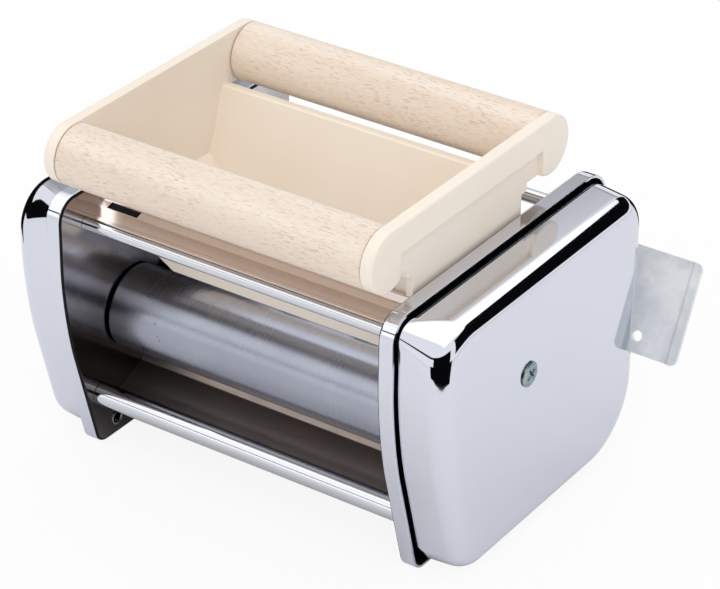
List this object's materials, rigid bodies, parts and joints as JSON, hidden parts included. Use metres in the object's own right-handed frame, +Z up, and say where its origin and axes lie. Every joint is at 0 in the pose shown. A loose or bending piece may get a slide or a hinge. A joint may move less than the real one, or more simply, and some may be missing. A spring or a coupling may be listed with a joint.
{
  "type": "ravioli maker attachment",
  "caption": "Ravioli rollers in a chromed frame with end covers, a lift-off cream hopper with beech rollers, and rear tongues that hang it on a hand cranked machine.",
  "frame": {"origin": "centre of the bounding box at the height of the side plates' underside", "axes": "+X along the rollers to the right end, +Y to the rear where the tongues are, +Z up"},
  "size_m": [0.2066, 0.1632, 0.1368],
  "materials": {
    "chrome": "polished chrome plating",
    "satin_steel": "satin nickel",
    "plain_steel": "turned steel",
    "zinc": "bright zinc plating",
    "brass": "turned",
    "cream_plastic": "semi-gloss cream",
    "beech": "sanded, unvarnished beech"
  },
  "bodies": {
    "frame": {"cover_screws": "zinc", "cover_standoffs": "plain_steel", "front_deck_plate": "chrome", "front_lower_rod": "chrome", "front_scraper": "satin_steel", "front_top_rod": "chrome", "left_end_cover": "chrome", "left_front_bush": "brass", "left_mounting_tongue": "zinc", "left_rear_bush": "brass", "left_side_plate": "chrome", "lower_rod_screws": "zinc", "plate_eyelets": "zinc", "rear_deck_plate": "chrome", "rear_lower_rod": "chrome", "rear_scraper": "satin_steel", "rear_top_rod": "chrome", "right_end_cover": "chrome", "right_front_bush": "brass", "right_mounting_tongue": "zinc", "right_rear_bush": "brass", "right_side_plate": "chrome", "tongue_rivets": "zinc", "top_rod_screws": "zinc"},
    "front_roller": {"front_roller": "satin_steel", "front_roller_shaft": "plain_steel", "drive_gear": "plain_steel", "drive_gear_key": "plain_steel", "crank_socket": "plain_steel", "crank_socket_pin": "plain_steel", "front_shaft_clip": "plain_steel"},
    "rear_roller": {"rear_roller": "satin_steel", "rear_roller_shaft": "plain_steel", "driven_gear": "plain_steel", "driven_gear_key": "plain_steel", "rear_shaft_clips": "plain_steel"},
    "hopper": {"hopper": "cream_plastic"},
    "front_dowel": {"front_dowel": "beech", "front_dowel_axle": "plain_steel"},
    "rear_dowel": {"rear_dowel": "beech", "rear_dowel_axle": "plain_steel"}
  },
  "joints": [
    {"name": "front_roller_spin", "type": "hinge", "parent": "frame", "child": "front_roller", "pos_m": [0, -0.03659, 0.0494], "axis": [1, 0, 0], "continuous": true},
    {"name": "rear_roller_spin", "type": "hinge", "parent": "frame", "child": "rear_roller", "pos_m": [0, -0.00459, 0.0494], "axis": [1, 0, 0], "continuous": true},
    {"name": "hopper_lift", "type": "slide", "parent": "frame", "child": "hopper", "axis": [0, 0, 1], "range_m": [0, 0.06]},
    {"name": "front_dowel_spin", "type": "hinge", "parent": "hopper", "child": "front_dowel", "pos_m": [0, -0.07059, 0.1258], "axis": [1, 0, 0], "continuous": true},
    {"name": "rear_dowel_spin", "type": "hinge", "parent": "hopper", "child": "rear_dowel", "pos_m": [0, 0.02941, 0.1258], "axis": [1, 0, 0], "continuous": true}
  ],
  "couplings": [
    {"joint": "rear_roller_spin", "follows": "front_roller_spin", "ratio": -1}
  ]
}
